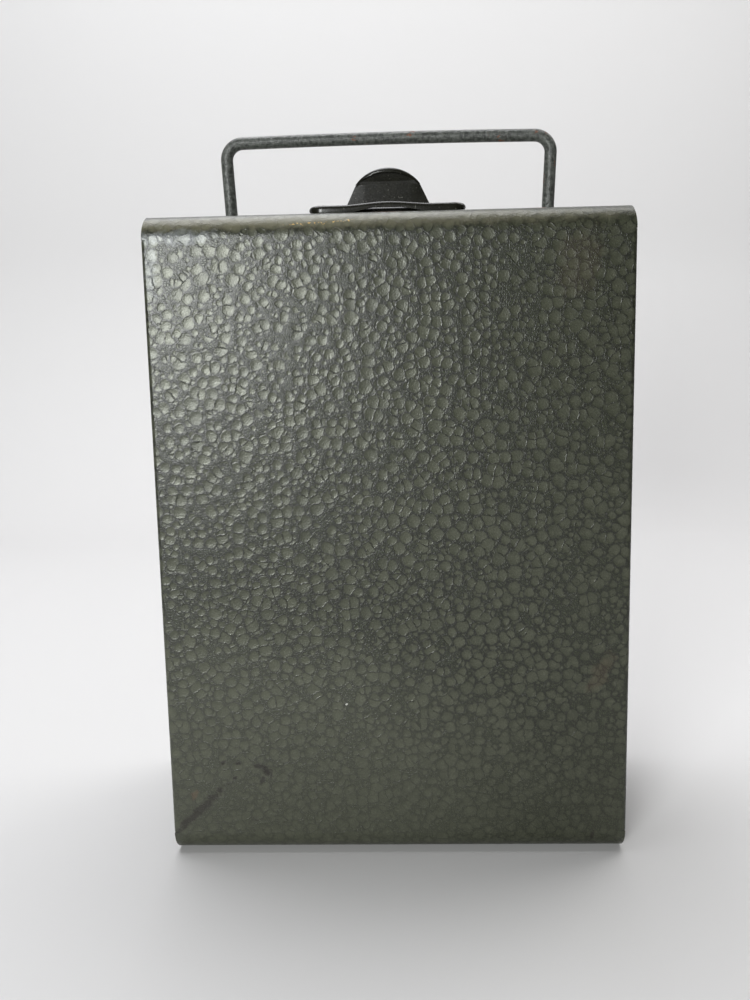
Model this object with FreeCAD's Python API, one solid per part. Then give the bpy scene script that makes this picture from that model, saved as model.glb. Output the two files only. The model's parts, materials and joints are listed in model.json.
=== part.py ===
"""Sheet-steel lunch box that stands upright: a shallow lid on a deep base, hinged along the bottom edge.

Millimetres. X runs across the face, Y from the face to the back, and Z up. The origin is on the
surface that the closed box stands on, under the middle of its width and depth. The lid is the
front tray. A snap hasp and a wire handle are on top.
"""
import FreeCAD, Part
import math
import os

Vector = FreeCAD.Vector
ACROSS = Vector(1, 0, 0)
UP = Vector(0, 0, 1)
LEFT = -1
RIGHT = 1

# Case
width = 150.0
height = 207.5
depth = 80.0
lid_depth = 26.0
sheet = 0.8
bend_radius = 7.5
seam_gap = 0.4
seat = 0.02

# Side folds of the two wraps, and the inturned edges of the end panels
fold_radius = 1.4
fold_reach = 9.0
fold_relief = 0.6
lap = 6.0
lap_setback = 14.0

# Lip that the lid closes over
lip_reach = 6.0
lip_root = 10.0
lip_clearance = 0.4
lip_foot = 14.0
lip_corner = 3.0

# Hinge along the bottom edge
hinge_end_inset = 3.5
knuckle_count = 7
knuckle_gap = 0.3
hinge_pin_radius = 1.0
hinge_running = 0.05
leaf_sheet = 0.6
leaf_width = 14.0
leaf_gap = 1.2
wall_relief = 5.0
end_relief = 3.3

# Rivets
rivet_shank_radius = 1.0
rivet_head_radius = 1.9
rivet_head_height = 0.7
rivet_tail_height = 0.6

# Hasp plate on the lid, with its pin
plate_width = 49.0
plate_depth = 11.0
plate_setback = 9.0
plate_corner = 4.5
plate_sheet = 0.6
ear_height = 2.7
ear_round = 1.1
bow_rise = 0.85
bow_gap = 0.5
bow_mouth_width = 24.0
bow_mouth_height = 1.9
plate_rivet_inset = 4.0
plate_rivet_setback = 3.0
plate_rivet_head_height = 0.3
hasp_pin_radius = 0.6
hasp_pin_setback = 7.0
hasp_pin_end_inset = 3.0
hasp_running = 0.05

# Hasp
hasp_width = 27.7
hasp_sheet = 0.6
hasp_ground_gap = 0.15
hasp_side_gap = 0.65
hasp_reach = 18.0
nose_length = 2.4
nose_slope_length = 1.4
tab_height = 17.9
tab_skirt_height = 6.2
tab_shoulder_height = 12.05
tab_shoulder_width = 21.5
tab_lean = 12.0
tab_rim_radius = 0.7

# Catch on the base
catch_width = 34.0
catch_depth = 8.5
catch_setback = 0.8
catch_sheet = 0.6
catch_corner = 2.0
ridge_length = 16.0
ridge_radius = 0.6
ridge_setback = 3.3
nose_clearance = 0.1
catch_rivet_inset = 2.8

# Handle and its saddles
wire_radius = 2.1
handle_setback = 48.0
handle_spread = 1.3
handle_rise = 30.3
handle_corner_radius = 4.0
handle_elbow_radius = 3.4
handle_foot_length = 13.0
saddle_sheet = 0.8
saddle_width = 7.0
saddle_gap = 0.15
saddle_flange = 6.0
saddle_end_gap = 1.0
saddle_lap_gap = 2.5

# Places that follow from the sizes above
overcut = 1.0
front_y = -depth / 2
back_y = depth / 2
seam_y = front_y + lid_depth
half_width = width / 2
wrap_half_width = half_width - sheet
hinge_length = width - 2 * hinge_end_inset
knuckle_radius = hinge_pin_radius + hinge_running + leaf_sheet
hinge_z = sheet + seat + knuckle_radius
eye_radius = hasp_pin_radius + hasp_running + hasp_sheet
hasp_axis_y = front_y + plate_setback + hasp_pin_setback
hasp_axis_z = height + hasp_ground_gap + eye_radius
pin_half_length = plate_width / 2 - hasp_pin_end_inset
handle_y = front_y + handle_setback
handle_pivot_z = height + saddle_gap + wire_radius


def middle_of_arc(centre, radius, start_deg, end_deg, along, across):
    """Point halfway round an arc that is measured from the direction along towards across."""
    angle = math.radians((start_deg + end_deg) / 2)
    return centre + along * (radius * math.cos(angle)) + across * (radius * math.sin(angle))


def closed_outline(steps):
    """Closed wire: a point is a straight run to it, and a pair is an arc through one to the other."""
    here = steps[0]
    edges = []
    for step in steps[1:] + [steps[0]]:
        if isinstance(step, tuple):
            edges.append(Part.Arc(here, step[0], step[1]).toShape())
            here = step[1]
        elif not step.isEqual(here, 1e-7):
            edges.append(Part.makeLine(here, step))
            here = step
    return Part.Wire(edges)


def prism(steps, travel):
    """Solid that a closed outline sweeps along a straight travel."""
    return Part.Face(closed_outline(steps)).extrude(travel)


def block(x_range, y_range, z_range):
    """Box between two values on each axis."""
    low = Vector(x_range[0], y_range[0], z_range[0])
    return Part.makeBox(x_range[1] - x_range[0], y_range[1] - y_range[0], z_range[1] - z_range[0], low)


def rod(radius, x_range, y, z):
    """Round bar along X."""
    return Part.makeCylinder(radius, x_range[1] - x_range[0], Vector(x_range[0], y, z), ACROSS)


def plate_outline(x_range, y_range, z, corner):
    """Steps round a flat plate with rounded corners, in the plane at height z."""
    (x0, x1), (y0, y1) = x_range, y_range
    toward_x, toward_y = Vector(1, 0, 0), Vector(0, 1, 0)
    steps = [Vector(x0 + corner, y0, z)]
    turns = [(x1, y0, -1, 1), (x1, y1, -1, -1), (x0, y1, 1, -1), (x0, y0, 1, 1)]
    for turn, (x, y, x_side, y_side) in enumerate(turns):
        centre = Vector(x + x_side * corner, y + y_side * corner, z)
        start = -90 + 90 * turn
        begin = middle_of_arc(centre, corner, start, start, toward_x, toward_y)
        through = middle_of_arc(centre, corner, start, start + 90, toward_x, toward_y)
        end = middle_of_arc(centre, corner, start + 90, start + 90, toward_x, toward_y)
        steps.append(begin)
        steps.append((through, end))
    return steps


def tray_outline(x, face_y, inward, rim_y, inset):
    """Steps round a tray's side view, drawn in from its outside by inset and open at its rim."""
    inner_radius = bend_radius - inset
    centre_y = face_y + inward * bend_radius
    to_face = Vector(0, -inward, 0)
    top_centre = Vector(x, centre_y, height - bend_radius)
    low_centre = Vector(x, centre_y, bend_radius)
    top_through = middle_of_arc(top_centre, inner_radius, 0, 90, UP, to_face)
    low_through = middle_of_arc(low_centre, inner_radius, 0, 90, to_face, -UP)
    return [
        Vector(x, rim_y, height - inset),
        Vector(x, centre_y, height - inset),
        (top_through, Vector(x, face_y + inward * inset, height - bend_radius)),
        Vector(x, face_y + inward * inset, bend_radius),
        (low_through, Vector(x, centre_y, inset)),
        Vector(x, rim_y, inset),
    ]


def side_fold(face_y, inward, side):
    """Tight fold that takes a wrap's face round onto an end panel, between the two big bends."""
    low = bend_radius + fold_relief
    high = height - bend_radius - fold_relief
    outer_x = side * half_width
    inner_x = side * (half_width - sheet)
    edge_x = side * (half_width - fold_radius)
    centre = Vector(edge_x, face_y + inward * fold_radius, low)
    to_face = Vector(0, -inward, 0)
    outward = Vector(side, 0, 0)
    outer_through = middle_of_arc(centre, fold_radius, 0, 90, to_face, outward)
    inner_through = middle_of_arc(centre, fold_radius - sheet, 0, 90, to_face, outward)
    end_y = face_y + inward * fold_reach
    steps = [
        Vector(edge_x, face_y, low),
        (outer_through, Vector(outer_x, centre.y, low)),
        Vector(outer_x, end_y, low),
        Vector(inner_x, end_y, low),
        Vector(inner_x, centre.y, low),
        (inner_through, Vector(edge_x, face_y + inward * sheet, low)),
    ]
    return prism(steps, UP * (high - low))


def clear_hinge(shape, relief):
    """Cut a piece back from the hinge pin, so that the lid can turn about it."""
    return shape.cut(rod(relief, (-half_width, half_width), seam_y, hinge_z))


def tray_wrap(face_y, inward, rim_y):
    """Face with its top and bottom walls, bent from one sheet, and a tight fold down each side."""
    travel = ACROSS * (2 * wrap_half_width)
    outside = prism(tray_outline(-wrap_half_width, face_y, inward, rim_y, 0), travel)
    past_rim = rim_y + inward * overcut
    shape = outside.cut(prism(tray_outline(-wrap_half_width, face_y, inward, past_rim, sheet), travel))
    fold_edge = half_width - fold_radius
    y_ends = sorted((face_y - inward * overcut, face_y + inward * bend_radius))
    for side in (LEFT, RIGHT):
        x_ends = sorted((side * fold_edge, side * half_width))
        shape = shape.cut(block(x_ends, y_ends, (bend_radius, height - bend_radius)))
        shape = shape.fuse(side_fold(face_y, inward, side))
    return clear_hinge(shape, wall_relief).removeSplitter()


def tray_end(face_y, inward, rim_y, side):
    """End panel that nests in a wrap, with an inturned edge lapped against the wrap's inside."""
    outer_x = side * (wrap_half_width - seat)
    nest = sheet + seat
    panel = prism(tray_outline(outer_x, face_y, inward, rim_y, nest), Vector(-side * sheet, 0, 0))
    lap_x = outer_x - side * sheet
    lap_rim = rim_y - inward * lap_setback
    lap_travel = Vector(-side * lap, 0, 0)
    edge = prism(tray_outline(lap_x, face_y, inward, lap_rim, nest), lap_travel)
    hollow = prism(tray_outline(lap_x, face_y, inward, lap_rim + inward * overcut, nest + sheet), lap_travel)
    panel = panel.fuse(edge.cut(hollow)).removeSplitter()
    outer_edges = [
        line for line in panel.Edges
        if abs(line.CenterOfMass.x - outer_x) < 1e-6 and abs(line.CenterOfMass.y - rim_y) > 1e-6
    ]
    return clear_hinge(panel.makeFillet(fold_radius - sheet, outer_edges), end_relief)


def lip_band(inset, y_range):
    """Sheet band up both ends and across the top, drawn in from the case's inside by inset."""

    def arch(extra):
        """Steps round the space under an arch that is drawn in by a further extra."""
        half = wrap_half_width - seat - sheet - inset - extra
        top = height - sheet - inset - extra
        corner = lip_corner - extra
        outward = Vector(1, 0, 0)
        right = Vector(half - corner, y_range[0], top - corner)
        left = Vector(-half + corner, y_range[0], top - corner)
        return [
            Vector(-half, y_range[0], lip_foot),
            Vector(half, y_range[0], lip_foot),
            Vector(half, y_range[0], top - corner),
            (middle_of_arc(right, corner, 0, 90, outward, UP), right + UP * corner),
            left + UP * corner,
            (middle_of_arc(left, corner, 90, 180, outward, UP), left - outward * corner),
        ]

    travel = Vector(0, y_range[1] - y_range[0], 0)
    space = prism(arch(sheet), travel)
    below = space.copy()
    below.translate(UP * -overcut)
    return prism(arch(0), travel).cut(space).cut(below)


def base_lip():
    """Joggled lip: its root lies inside the base, and its reach steps in to pass inside the lid."""
    rim_y = seam_y + seam_gap / 2
    root = lip_band(seat, (rim_y, rim_y + lip_root))
    reach = lip_band(seat + lip_clearance, (rim_y - seam_gap - lip_reach, rim_y + sheet))
    lip = root.fuse(reach)
    for x in (-catch_rivet_x(), catch_rivet_x()):
        lip = lip.cut(rivet_hole(x, catch_rivet_y(), height))
    return lip.removeSplitter()


def hinge_leaf(toward, own_turns):
    """Leaf on a bottom wall, whose own knuckles roll round the pin between the other leaf's."""
    pitch = hinge_length / knuckle_count
    low_z = hinge_z - knuckle_radius
    start = -hinge_length / 2
    edge_y = seam_y + toward * (knuckle_radius + leaf_gap)
    outer_y = seam_y + toward * leaf_width
    leaf = block((start, -start), sorted((edge_y, outer_y)), (low_z, low_z + leaf_sheet))
    for turn in own_turns:
        x_range = (start + turn * pitch + knuckle_gap / 2, start + (turn + 1) * pitch - knuckle_gap / 2)
        neck = block(x_range, sorted((seam_y, edge_y)), (low_z, low_z + leaf_sheet))
        leaf = leaf.fuse(neck).fuse(rod(knuckle_radius, x_range, seam_y, hinge_z))
    bore = rod(hinge_pin_radius + hinge_running, (start - overcut, overcut - start), seam_y, hinge_z)
    return leaf.cut(bore).removeSplitter()


def hinge_pin():
    """Wire through all the knuckles."""
    return rod(hinge_pin_radius, (-hinge_length / 2, hinge_length / 2), seam_y, hinge_z)


def rivet(x, y, top_z, grip, head_height):
    """Domed rivet set down through a stack of sheets of thickness grip."""
    crown = Vector(x, y, top_z + head_height)
    rim = Vector(x + rivet_head_radius, y, top_z)
    dome_radius = (rivet_head_radius**2 + head_height**2) / (2 * head_height)
    centre = crown - UP * dome_radius
    half_spread = math.degrees(math.asin(rivet_head_radius / dome_radius)) / 2
    through = middle_of_arc(centre, dome_radius, half_spread, half_spread, UP, ACROSS)
    tail_z = top_z - grip
    steps = [
        crown,
        (through, rim),
        Vector(x + rivet_shank_radius, y, top_z),
        Vector(x + rivet_shank_radius, y, tail_z),
        Vector(rim.x, y, tail_z),
        Vector(rim.x, y, tail_z - rivet_tail_height),
        Vector(x, y, tail_z - rivet_tail_height),
    ]
    return Part.Face(closed_outline(steps)).revolve(crown, UP, 360)


def rivet_hole(x, y, z):
    """Clearance for a rivet's shank through every sheet near height z."""
    reach = ear_height + bend_radius
    return Part.makeCylinder(rivet_shank_radius + seat, 2 * reach, Vector(x, y, z - reach), UP)


def plate_rivet_x():
    """Distance of each hasp plate rivet from the middle."""
    return plate_width / 2 - plate_rivet_inset


def plate_rivet_y():
    """Where the hasp plate's rivets lie, in front of the pin."""
    return front_y + plate_setback + plate_rivet_setback


def catch_rivet_x():
    """Distance of each catch rivet from the middle."""
    return catch_width / 2 - catch_rivet_inset


def catch_rivet_y():
    """Where the catch's rivets lie."""
    return seam_y + seam_gap / 2 + catch_setback + catch_depth / 2


def saddle_x(side):
    """Middle of a saddle, whose rivets pass inside the end panel's inturned edge."""
    lap_x = wrap_half_width - seat - sheet - lap
    return side * (lap_x - saddle_lap_gap - rivet_head_radius)


def handle_foot_x():
    """Where the middle lines of a leg and its foot would meet, just inside the saddle."""
    lean = math.atan2(handle_spread, handle_rise + height - handle_pivot_z)
    elbow = handle_elbow_radius * math.tan((math.pi / 2 + lean) / 2)
    return saddle_x(RIGHT) - saddle_width / 2 - saddle_end_gap - elbow


def saddle_rivet_ys():
    """The two rivet lines of a saddle, one on each flange."""
    reach = wire_radius + saddle_gap + saddle_sheet + saddle_flange / 2
    return handle_y - reach, handle_y + reach


def lid_wrap():
    """Front face, with the holes for the hasp plate's rivets in its top wall."""
    shape = tray_wrap(front_y, 1, seam_y - seam_gap / 2)
    for x in (-plate_rivet_x(), plate_rivet_x()):
        shape = shape.cut(rivet_hole(x, plate_rivet_y(), height))
    return shape


def base_wrap():
    """Back face, with the holes for the catch's and the saddles' rivets in its top wall."""
    shape = tray_wrap(back_y, -1, seam_y + seam_gap / 2)
    for x in (-catch_rivet_x(), catch_rivet_x()):
        shape = shape.cut(rivet_hole(x, catch_rivet_y(), height))
    for side in (LEFT, RIGHT):
        for y in saddle_rivet_ys():
            shape = shape.cut(rivet_hole(saddle_x(side), y, height))
    return shape


def hasp_plate():
    """Pressed plate: two cupped ears that hold the hasp's pin, and a bowed strip between them."""
    y_range = (front_y + plate_setback, front_y + plate_setback + plate_depth)
    x_range = (-plate_width / 2, plate_width / 2)
    inner_x = (x_range[0] + plate_sheet, x_range[1] - plate_sheet)
    inner_y = (y_range[0] + plate_sheet, y_range[1] - plate_sheet)
    cup = prism(plate_outline(x_range, y_range, height, plate_corner), UP * ear_height)
    top_z = height + ear_height
    cup = cup.makeFillet(ear_round, [edge for edge in cup.Edges if edge.BoundBox.ZMin > top_z - seat])
    hollow_height = ear_height - plate_sheet
    hollow = prism(plate_outline(inner_x, inner_y, height, plate_corner - plate_sheet), UP * hollow_height)
    plate = cup.cut(hollow)
    pin_x = (-pin_half_length, pin_half_length)
    bead_x = (-pin_half_length - plate_sheet, pin_half_length + plate_sheet)
    bead = rod(hasp_pin_radius + seat + plate_sheet, bead_x, hasp_axis_y, hasp_axis_z)
    plate = plate.fuse(bead)
    mouth = hasp_width / 2 + hasp_side_gap
    mouth_z = (height - overcut, height + ear_height + eye_radius)
    mouth_y = (y_range[0] - overcut, y_range[1] + overcut)
    plate = plate.cut(block((-mouth, mouth), mouth_y, mouth_z))
    plate = plate.cut(rod(hasp_pin_radius + seat, pin_x, hasp_axis_y, hasp_axis_z))
    plate = plate.fuse(hasp_bow(mouth + plate_sheet, y_range[0]))
    for x in (-plate_rivet_x(), plate_rivet_x()):
        plate = plate.cut(rivet_hole(x, plate_rivet_y(), height))
    return plate.removeSplitter()


def hasp_bow(half_span, y):
    """Strip that springs from ear to ear in a low arch, with a skirt in front that arches off the lid."""
    top_z = height + ear_height
    end_y = hasp_axis_y - eye_radius - bow_gap
    left, right = Vector(-half_span, y, top_z), Vector(half_span, y, top_z)
    crown = Vector(0, y, top_z + bow_rise)
    drop = UP * plate_sheet
    strip = [left, (crown, right), right - drop, (crown - drop, left - drop)]
    mouth = ACROSS * (bow_mouth_width / 2)
    foot = Vector(0, y, height)
    skirt = [
        left,
        (crown, right),
        right - UP * ear_height,
        foot + mouth,
        (foot + UP * bow_mouth_height, foot - mouth),
        left - UP * ear_height,
    ]
    return prism(strip, Vector(0, end_y - y, 0)).fuse(prism(skirt, Vector(0, plate_sheet, 0)))


def hasp_pin():
    """Wire that the hasp turns on, held by the plate's ears."""
    return rod(hasp_pin_radius, (-pin_half_length, pin_half_length), hasp_axis_y, hasp_axis_z)


def hasp():
    """Snap hasp: a rolled eye, a flat tongue, a nose that drops behind the catch, and a thumb tab."""
    half = hasp_width / 2
    tongue_top = hasp_axis_z + eye_radius
    tongue_low = tongue_top - hasp_sheet
    nose_low = height + catch_sheet + ridge_radius + nose_clearance
    tab_back = hasp_axis_y + hasp_reach
    tab_front = tab_back - hasp_sheet
    slope_end = tab_back - nose_length
    slope_start = slope_end - nose_slope_length
    crease_z = height + tab_shoulder_height
    top_z = height + tab_height
    lean_y = math.tan(math.radians(tab_lean)) * (top_z - crease_z)
    side_view = [
        Vector(-half, hasp_axis_y, tongue_top),
        Vector(-half, hasp_axis_y, tongue_low),
        Vector(-half, slope_start, tongue_low),
        Vector(-half, slope_end, nose_low),
        Vector(-half, tab_back, nose_low),
        Vector(-half, tab_back, crease_z),
        Vector(-half, tab_back - lean_y, top_z),
        Vector(-half, tab_front - lean_y, top_z),
        Vector(-half, tab_front, crease_z),
        Vector(-half, tab_front, nose_low + hasp_sheet),
        Vector(-half, slope_end, nose_low + hasp_sheet),
        Vector(-half, slope_start, tongue_top),
    ]
    bent = prism(side_view, ACROSS * hasp_width)
    shape = bent.common(tab_front_view(hasp_axis_y, tab_back + overcut))
    shape = shape.fuse(rod(eye_radius, (-half, half), hasp_axis_y, hasp_axis_z))
    bore_x = (-half - overcut, half + overcut)
    shape = shape.cut(rod(hasp_pin_radius + hasp_running, bore_x, hasp_axis_y, hasp_axis_z))
    return shape.fuse(tab_rim(tab_front, crease_z)).removeSplitter()


def tab_arc_radius():
    """Radius of the thumb tab's round top."""
    rise = tab_height - tab_shoulder_height
    half_chord = tab_shoulder_width / 2
    return (half_chord**2 + rise**2) / (2 * rise)


def tab_front_view(y_start, y_end):
    """Outline of the tab seen from the front, as a bar that the bent strip is trimmed to."""
    half = hasp_width / 2
    shoulder = tab_shoulder_width / 2
    steps = [
        Vector(-half, y_start, height),
        Vector(half, y_start, height),
        Vector(half, y_start, height + tab_skirt_height),
        Vector(shoulder, y_start, height + tab_shoulder_height),
        (Vector(0, y_start, height + tab_height), Vector(-shoulder, y_start, height + tab_shoulder_height)),
        Vector(-half, y_start, height + tab_skirt_height),
    ]
    return prism(steps, Vector(0, y_end - y_start, 0))


def tab_rim(tab_front, crease_z):
    """Rolled rim round the tab's top, turned to the front and leaning with it."""
    radius = tab_arc_radius() - tab_rim_radius
    spread = math.degrees(math.asin(tab_shoulder_width / 2 / tab_arc_radius()))
    centre = Vector(0, tab_front, height + tab_height - tab_arc_radius())
    section_centre = centre + UP * radius
    section = Part.Face(Part.Wire(Part.makeCircle(tab_rim_radius, section_centre, ACROSS)))
    section.rotate(centre, Vector(0, 1, 0), -spread)
    rim = section.revolve(centre, Vector(0, 1, 0), 2 * spread)
    rim.rotate(Vector(0, tab_front, crease_z), ACROSS, tab_lean)
    return rim


def catch_plate():
    """Flat plate on the base with a pressed half-round ridge across it."""
    rim_y = seam_y + seam_gap / 2
    y_range = (rim_y + catch_setback, rim_y + catch_setback + catch_depth)
    x_range = (-catch_width / 2, catch_width / 2)
    plate = prism(plate_outline(x_range, y_range, height, catch_corner), UP * catch_sheet)
    ridge_x = (-ridge_length / 2, ridge_length / 2)
    ridge = rod(ridge_radius, ridge_x, rim_y + ridge_setback, height + catch_sheet)
    plate = plate.fuse(ridge.common(block(ridge_x, y_range, (height, height + catch_sheet + ridge_radius))))
    for x in (-catch_rivet_x(), catch_rivet_x()):
        plate = plate.cut(rivet_hole(x, catch_rivet_y(), height))
    return plate.removeSplitter()


def rounded_path(points, radii):
    """Open wire along straight runs, with an arc of the given radius at each inner point."""
    edges = []
    here = points[0]
    for before, corner, after, radius in zip(points, points[1:], points[2:], radii):
        back = (before - corner).normalize()
        ahead = (after - corner).normalize()
        half_turn = back.getAngle(ahead) / 2
        run = radius / math.tan(half_turn)
        to_centre = (back + ahead).normalize()
        through = corner + to_centre * (radius / math.sin(half_turn) - radius)
        edges.append(Part.makeLine(here, corner + back * run))
        here = corner + ahead * run
        edges.append(Part.Arc(corner + back * run, through, here).toShape())
    edges.append(Part.makeLine(here, points[-1]))
    return Part.Wire(edges)


def handle_bail():
    """Round wire bent to a handle, with its feet turned outwards into the saddles."""
    foot = handle_foot_x()
    bar = foot + handle_spread
    bar_z = height + handle_rise
    foot_end = foot + handle_foot_length
    route = [(-foot_end, handle_pivot_z), (-foot, handle_pivot_z), (-bar, bar_z)]
    route += [(bar, bar_z), (foot, handle_pivot_z), (foot_end, handle_pivot_z)]
    points = [Vector(x, handle_y, z) for x, z in route]
    radii = [handle_elbow_radius, handle_corner_radius, handle_corner_radius, handle_elbow_radius]
    section = Part.Wire(Part.makeCircle(wire_radius, points[0], ACROSS))
    return rounded_path(points, radii).makePipeShell([section], True, False)


def handle_saddle(side):
    """Strap pressed over a foot of the handle, with a flange before and behind it."""
    inner = wire_radius + saddle_gap
    outer = inner + saddle_sheet
    x = saddle_x(side) - saddle_width / 2
    centre = Vector(x, handle_y, handle_pivot_z)
    forward = Vector(0, -1, 0)
    tip = outer + saddle_flange
    steps = [
        Vector(x, handle_y - tip, height),
        Vector(x, handle_y - inner, height),
        Vector(x, handle_y - inner, handle_pivot_z),
        (centre + UP * inner, centre - forward * inner),
        Vector(x, handle_y + inner, height),
        Vector(x, handle_y + tip, height),
        Vector(x, handle_y + tip, height + saddle_sheet),
        Vector(x, handle_y + outer, height + saddle_sheet),
        Vector(x, handle_y + outer, handle_pivot_z),
        (centre + UP * outer, centre + forward * outer),
        Vector(x, handle_y - outer, height + saddle_sheet),
        Vector(x, handle_y - tip, height + saddle_sheet),
    ]
    strap = prism(steps, ACROSS * saddle_width)
    for y in saddle_rivet_ys():
        strap = strap.cut(rivet_hole(saddle_x(side), y, height))
    return strap


def plate_rivets():
    """Two rivets through the hasp plate's ears and the lid's top wall."""
    grip = ear_height + sheet
    places = (-plate_rivet_x(), plate_rivet_x())
    top_z = height + ear_height
    return Part.Compound([rivet(x, plate_rivet_y(), top_z, grip, plate_rivet_head_height) for x in places])


def catch_rivets():
    """Two rivets through the catch, the base's top wall and the lip under it."""
    grip = catch_sheet + 2 * sheet + seat
    places = (-catch_rivet_x(), catch_rivet_x())
    top_z = height + catch_sheet
    return Part.Compound([rivet(x, catch_rivet_y(), top_z, grip, rivet_head_height) for x in places])


def saddle_rivets():
    """Four rivets through the saddles' flanges and the base's top wall."""
    top_z = height + saddle_sheet
    grip = saddle_sheet + sheet
    places = [(saddle_x(side), y) for side in (LEFT, RIGHT) for y in saddle_rivet_ys()]
    return Part.Compound([rivet(x, y, top_z, grip, rivet_head_height) for x, y in places])


def build_pieces():
    """Every piece of the box by its name."""
    lid_rim = seam_y - seam_gap / 2
    base_rim = seam_y + seam_gap / 2
    return {
        "lid_wrap": lid_wrap(),
        "lid_end_left": tray_end(front_y, 1, lid_rim, LEFT),
        "lid_end_right": tray_end(front_y, 1, lid_rim, RIGHT),
        "base_wrap": base_wrap(),
        "base_end_left": tray_end(back_y, -1, base_rim, LEFT),
        "base_end_right": tray_end(back_y, -1, base_rim, RIGHT),
        "base_lip": base_lip(),
        "hinge_leaf_lid": hinge_leaf(-1, range(0, knuckle_count, 2)),
        "hinge_leaf_base": hinge_leaf(1, range(1, knuckle_count, 2)),
        "hinge_pin": hinge_pin(),
        "hasp_plate": hasp_plate(),
        "hasp_plate_rivets": plate_rivets(),
        "hasp_pin": hasp_pin(),
        "hasp": hasp(),
        "catch_plate": catch_plate(),
        "catch_rivets": catch_rivets(),
        "handle_bail": handle_bail(),
        "handle_saddle_left": handle_saddle(LEFT),
        "handle_saddle_right": handle_saddle(RIGHT),
        "handle_saddle_rivets": saddle_rivets(),
    }


os.makedirs("parts", exist_ok=True)
for name, piece in build_pieces().items():
    piece.exportStep(f"parts/{name}.step")
    print(f"{name}: {len(piece.Solids)} solids, {piece.Volume:.1f} mm3, valid {piece.isValid()}")
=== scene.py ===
"""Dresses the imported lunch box: hammered enamel, a dark hasp, a wire handle and a plain studio."""

import json
import logging
import math
from dataclasses import dataclass, field
from enum import Enum
from typing import Any, Callable, Mapping, Optional, Sequence, Union

import bmesh
import bpy
from bpy.types import Material, NodeSocket, Object
from mathutils import Matrix, Vector


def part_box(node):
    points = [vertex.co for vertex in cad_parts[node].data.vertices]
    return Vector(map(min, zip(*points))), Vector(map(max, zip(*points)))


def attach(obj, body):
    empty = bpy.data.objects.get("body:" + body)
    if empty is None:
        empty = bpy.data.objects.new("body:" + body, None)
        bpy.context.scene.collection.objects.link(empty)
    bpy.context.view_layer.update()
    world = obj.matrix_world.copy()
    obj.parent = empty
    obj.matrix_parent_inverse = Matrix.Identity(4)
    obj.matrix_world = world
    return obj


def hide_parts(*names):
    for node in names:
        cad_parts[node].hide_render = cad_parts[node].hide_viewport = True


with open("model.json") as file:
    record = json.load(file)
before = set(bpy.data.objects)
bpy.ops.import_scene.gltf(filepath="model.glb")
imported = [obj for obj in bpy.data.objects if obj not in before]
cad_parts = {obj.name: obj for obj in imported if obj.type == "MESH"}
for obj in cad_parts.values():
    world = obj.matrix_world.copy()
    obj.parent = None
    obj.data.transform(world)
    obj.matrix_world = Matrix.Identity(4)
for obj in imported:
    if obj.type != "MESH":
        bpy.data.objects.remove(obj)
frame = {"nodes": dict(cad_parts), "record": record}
LOG = logging.getLogger("lunch_box")
MM = 0.001
SNAP = 0.001 * MM
SHEET_PLACE = "sheet_place"
# Attribute for bright sheet edges: partly wear, partly a painted highlight
EDGE_WEAR_AND_HIGHLIGHT = "edge_wear"
SHARP = math.radians(60)
NEAR = 0.01 * MM
MIDDLING = (0.35, 0.65)
Term = Union["Signal", int, float]
Range = tuple[float, float]
Place = Colour = tuple[float, float, float]


class Body(Enum):
    """The bodies that pieces ride on."""

    BASE = "base"
    LID = "lid"
    HASP = "hasp"
    HANDLE = "handle"


class Slot(Enum):
    """The record's material slots."""

    HAMMERED = "hammered_paint"
    HASP = "hasp_paint"
    HANDLE = "handle_paint"
    INNER = "inner_steel"
    PIN = "pin_steel"
    RIVET = "rivet_steel"


def from_srgb(*levels: int) -> Colour:
    """Turn a colour as a screen shows it into the linear one that shaders use.

    Args:
        levels: Its red, green and blue, from 0 to 255.

    Returns:
        The linear colour.
    """
    shares = (level / 255 for level in levels)
    red, green, blue = (s / 12.92 if s <= 0.04045 else ((s + 0.055) / 1.055) ** 2.4 for s in shares)
    return red, green, blue


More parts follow.
